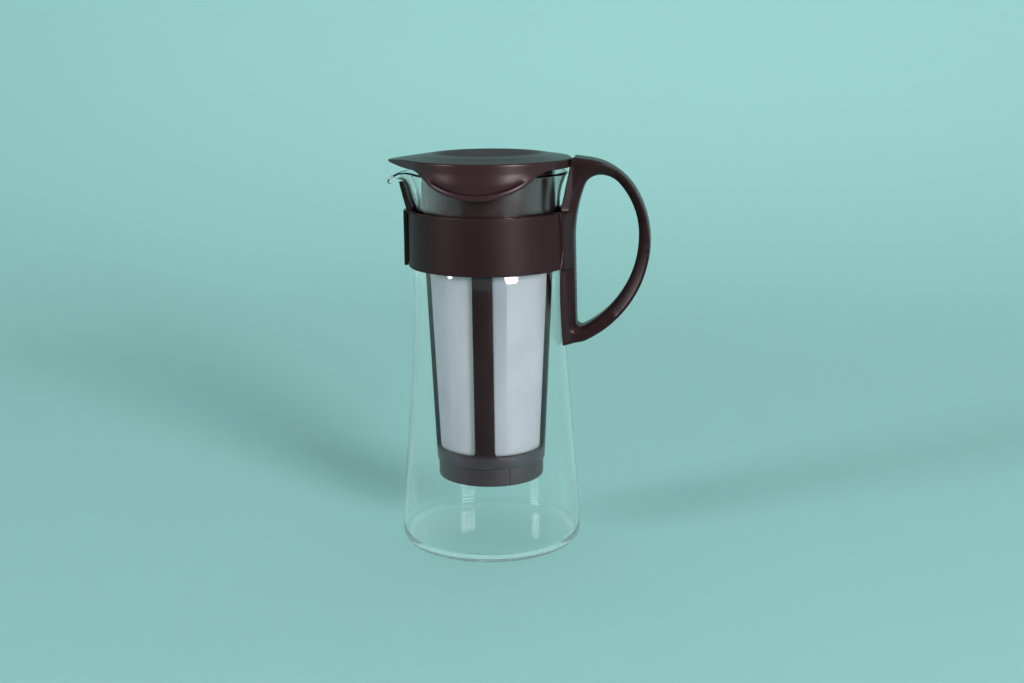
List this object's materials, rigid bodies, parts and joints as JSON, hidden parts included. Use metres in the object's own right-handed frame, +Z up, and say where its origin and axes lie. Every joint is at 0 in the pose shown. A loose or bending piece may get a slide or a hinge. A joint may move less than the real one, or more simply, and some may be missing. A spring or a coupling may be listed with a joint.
{
  "type": "cold brew coffee maker",
  "caption": "Cold brew coffee maker: flared glass jug with a plastic neck band, clasp and loop handle, a long mesh strainer hung in the neck, and a lid pointed over the spout.",
  "frame": {"origin": "middle of the jug's flat foot, on the table", "axes": "+Z up along the jug's axis, +X towards the handle, -X towards the spout, +Y completes the right-handed frame"},
  "size_m": [0.1335, 0.0928, 0.2009],
  "materials": {
    "clear_glass": "clear polished glass",
    "brown_plastic": "satin moulded",
    "strainer_plastic": "satin moulded",
    "mesh_cloth": "fine woven mesh"
  },
  "bodies": {
    "jug": {"glass_jug": "clear_glass", "neck_band": "brown_plastic", "handle": "brown_plastic"},
    "clasp": {"band_clasp": "brown_plastic"},
    "strainer": {"strainer_frame": "strainer_plastic", "mesh_panel_0": "mesh_cloth", "mesh_panel_1": "mesh_cloth", "mesh_panel_2": "mesh_cloth", "mesh_panel_3": "mesh_cloth"},
    "cap": {"strainer_cap": "strainer_plastic"},
    "lid": {"lid_cover": "brown_plastic"}
  },
  "joints": [
    {"name": "clasp_slide", "type": "slide", "parent": "jug", "child": "clasp", "axis": [0, 0, -1], "range_m": [0, 0.03]},
    {"name": "strainer_lift", "type": "slide", "parent": "jug", "child": "strainer", "axis": [0, 0, 1], "range_m": [0, 0.165]},
    {"name": "cap_pull", "type": "slide", "parent": "strainer", "child": "cap", "axis": [0, 0, -1], "range_m": [0, 0.025]},
    {"name": "lid_lift", "type": "slide", "parent": "strainer", "child": "lid", "axis": [0, 0, 1], "range_m": [0, 0.05]}
  ]
}
